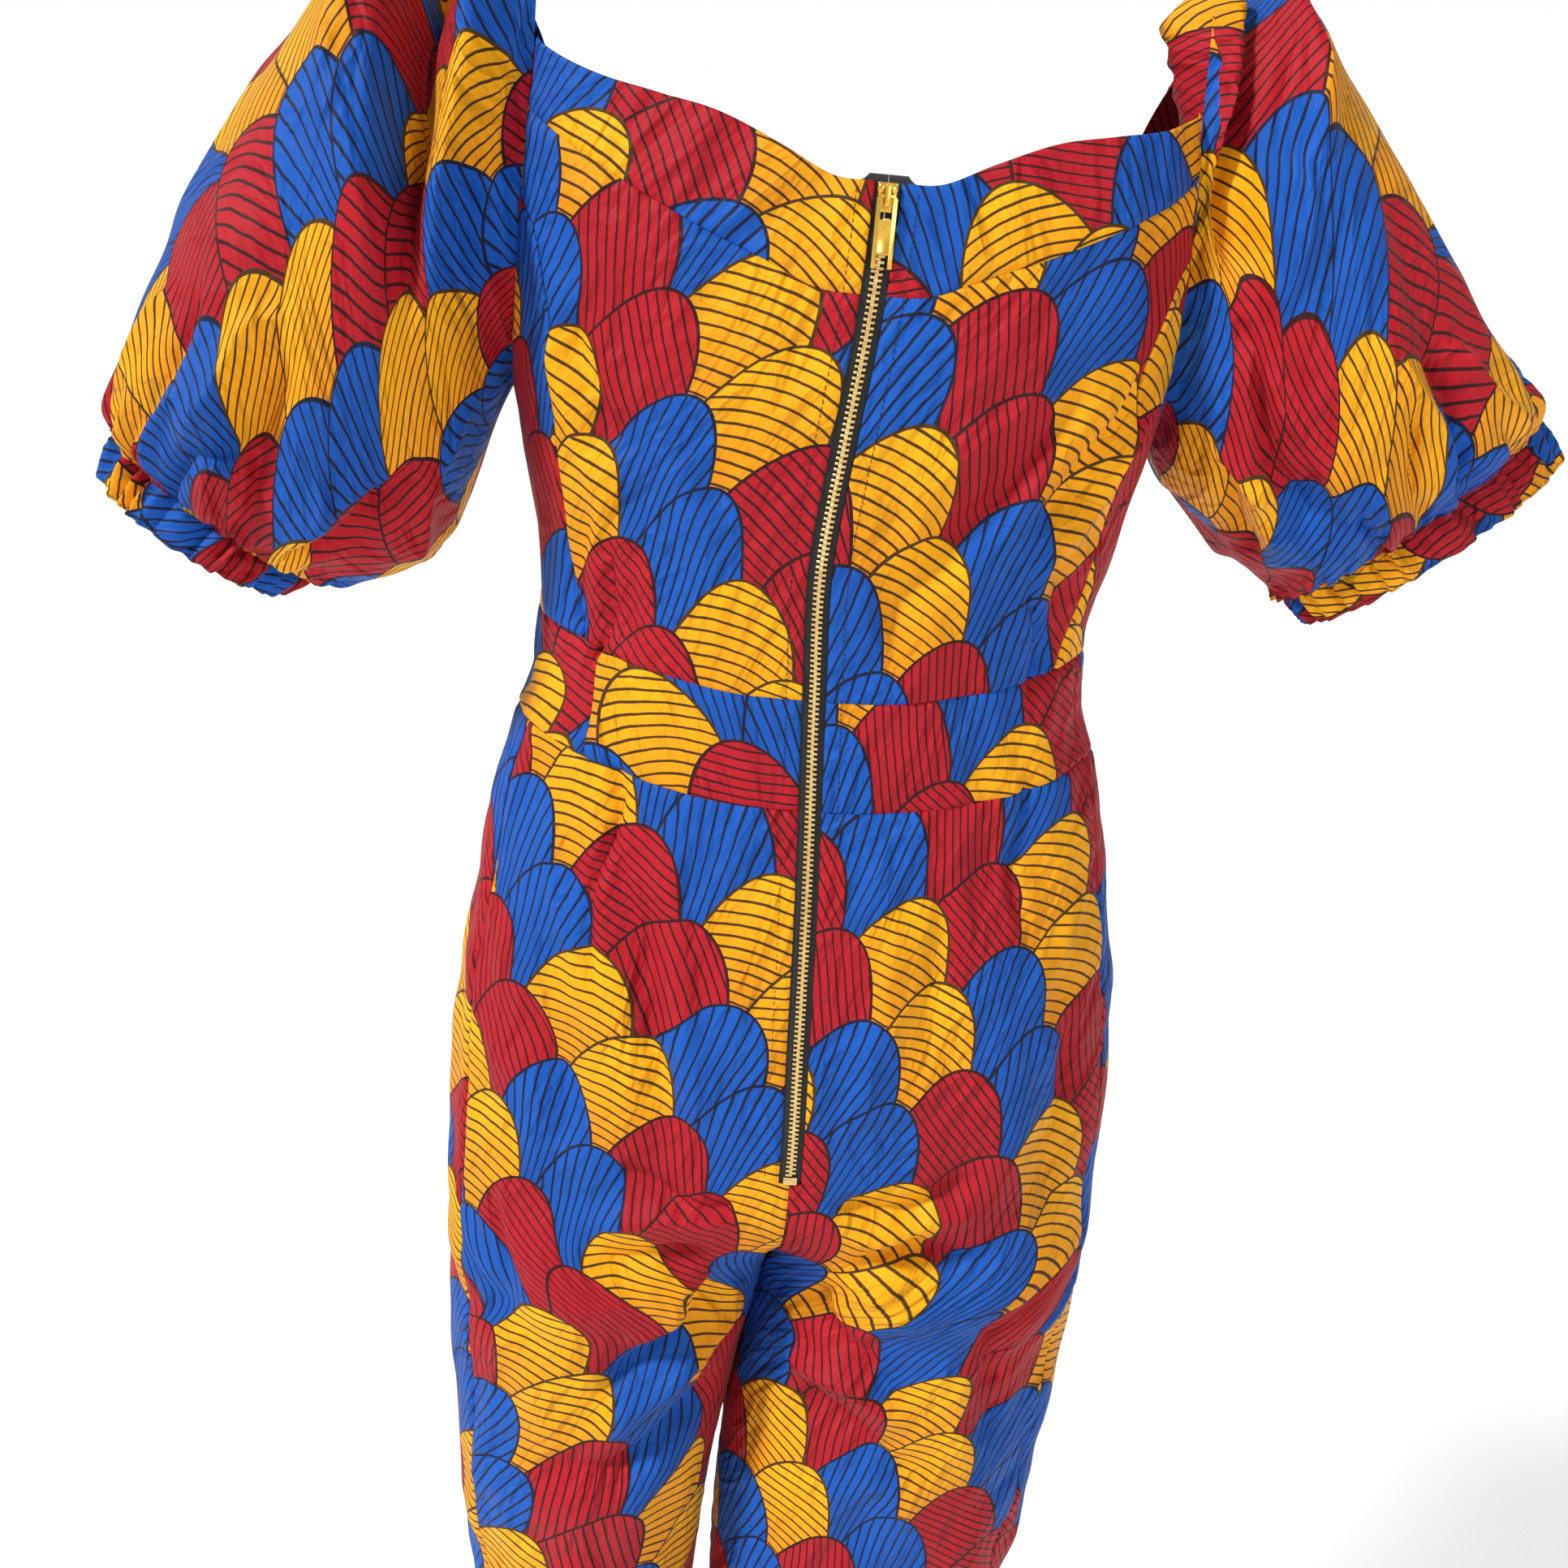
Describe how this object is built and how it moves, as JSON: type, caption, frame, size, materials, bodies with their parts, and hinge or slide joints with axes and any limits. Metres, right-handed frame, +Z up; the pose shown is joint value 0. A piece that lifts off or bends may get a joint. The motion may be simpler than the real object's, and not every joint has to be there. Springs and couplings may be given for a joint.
{
  "type": "off-shoulder jumpsuit",
  "caption": "Off-shoulder jumpsuit with short puff sleeves, a waistband, long legs and an exposed back zip, held open in its worn shape.",
  "frame": {"origin": "middle of the neck opening, level with the lowest point of the back neckline", "axes": "+Z up the body, -Y out of the back where the zip is, +X to the right as seen from behind"},
  "size_m": [0.7496, 0.2216, 1.3217],
  "materials": {
    "printed_cotton": "matt printed cotton in red, blue and yellow",
    "zip_tape": "matt black woven tape",
    "zip_metal": "polished gold-coloured metal"
  },
  "bodies": {
    "garment": {"yoke_back_left": "printed_cotton", "yoke_back_right": "printed_cotton", "yoke_front": "printed_cotton", "bodice_back_left": "printed_cotton", "bodice_back_right": "printed_cotton", "bodice_side_left": "printed_cotton", "bodice_side_right": "printed_cotton", "bodice_front": "printed_cotton", "waistband_back_left": "printed_cotton", "waistband_front": "printed_cotton", "waistband_back_right": "printed_cotton", "trouser_back_left": "printed_cotton", "trouser_back_right": "printed_cotton", "trouser_front_left": "printed_cotton", "trouser_front_right": "printed_cotton", "sleeve_left": "printed_cotton", "sleeve_right": "printed_cotton", "cuff_left": "printed_cotton", "cuff_right": "printed_cotton", "zip_chain": "zip_metal", "zip_bottom_stop": "zip_metal", "zip_slider": "zip_metal", "zip_tape_left": "zip_tape", "zip_tape_right": "zip_tape"},
    "pull_tab": {"zip_pull_tab": "zip_metal"}
  },
  "joints": [
    {"name": "pull_tab_hinge", "type": "hinge", "parent": "garment", "child": "pull_tab", "pos_m": [0.00635, -0.10745, -0.0068], "axis": [-1, 0, 0], "range_deg": [0, 150]}
  ]
}
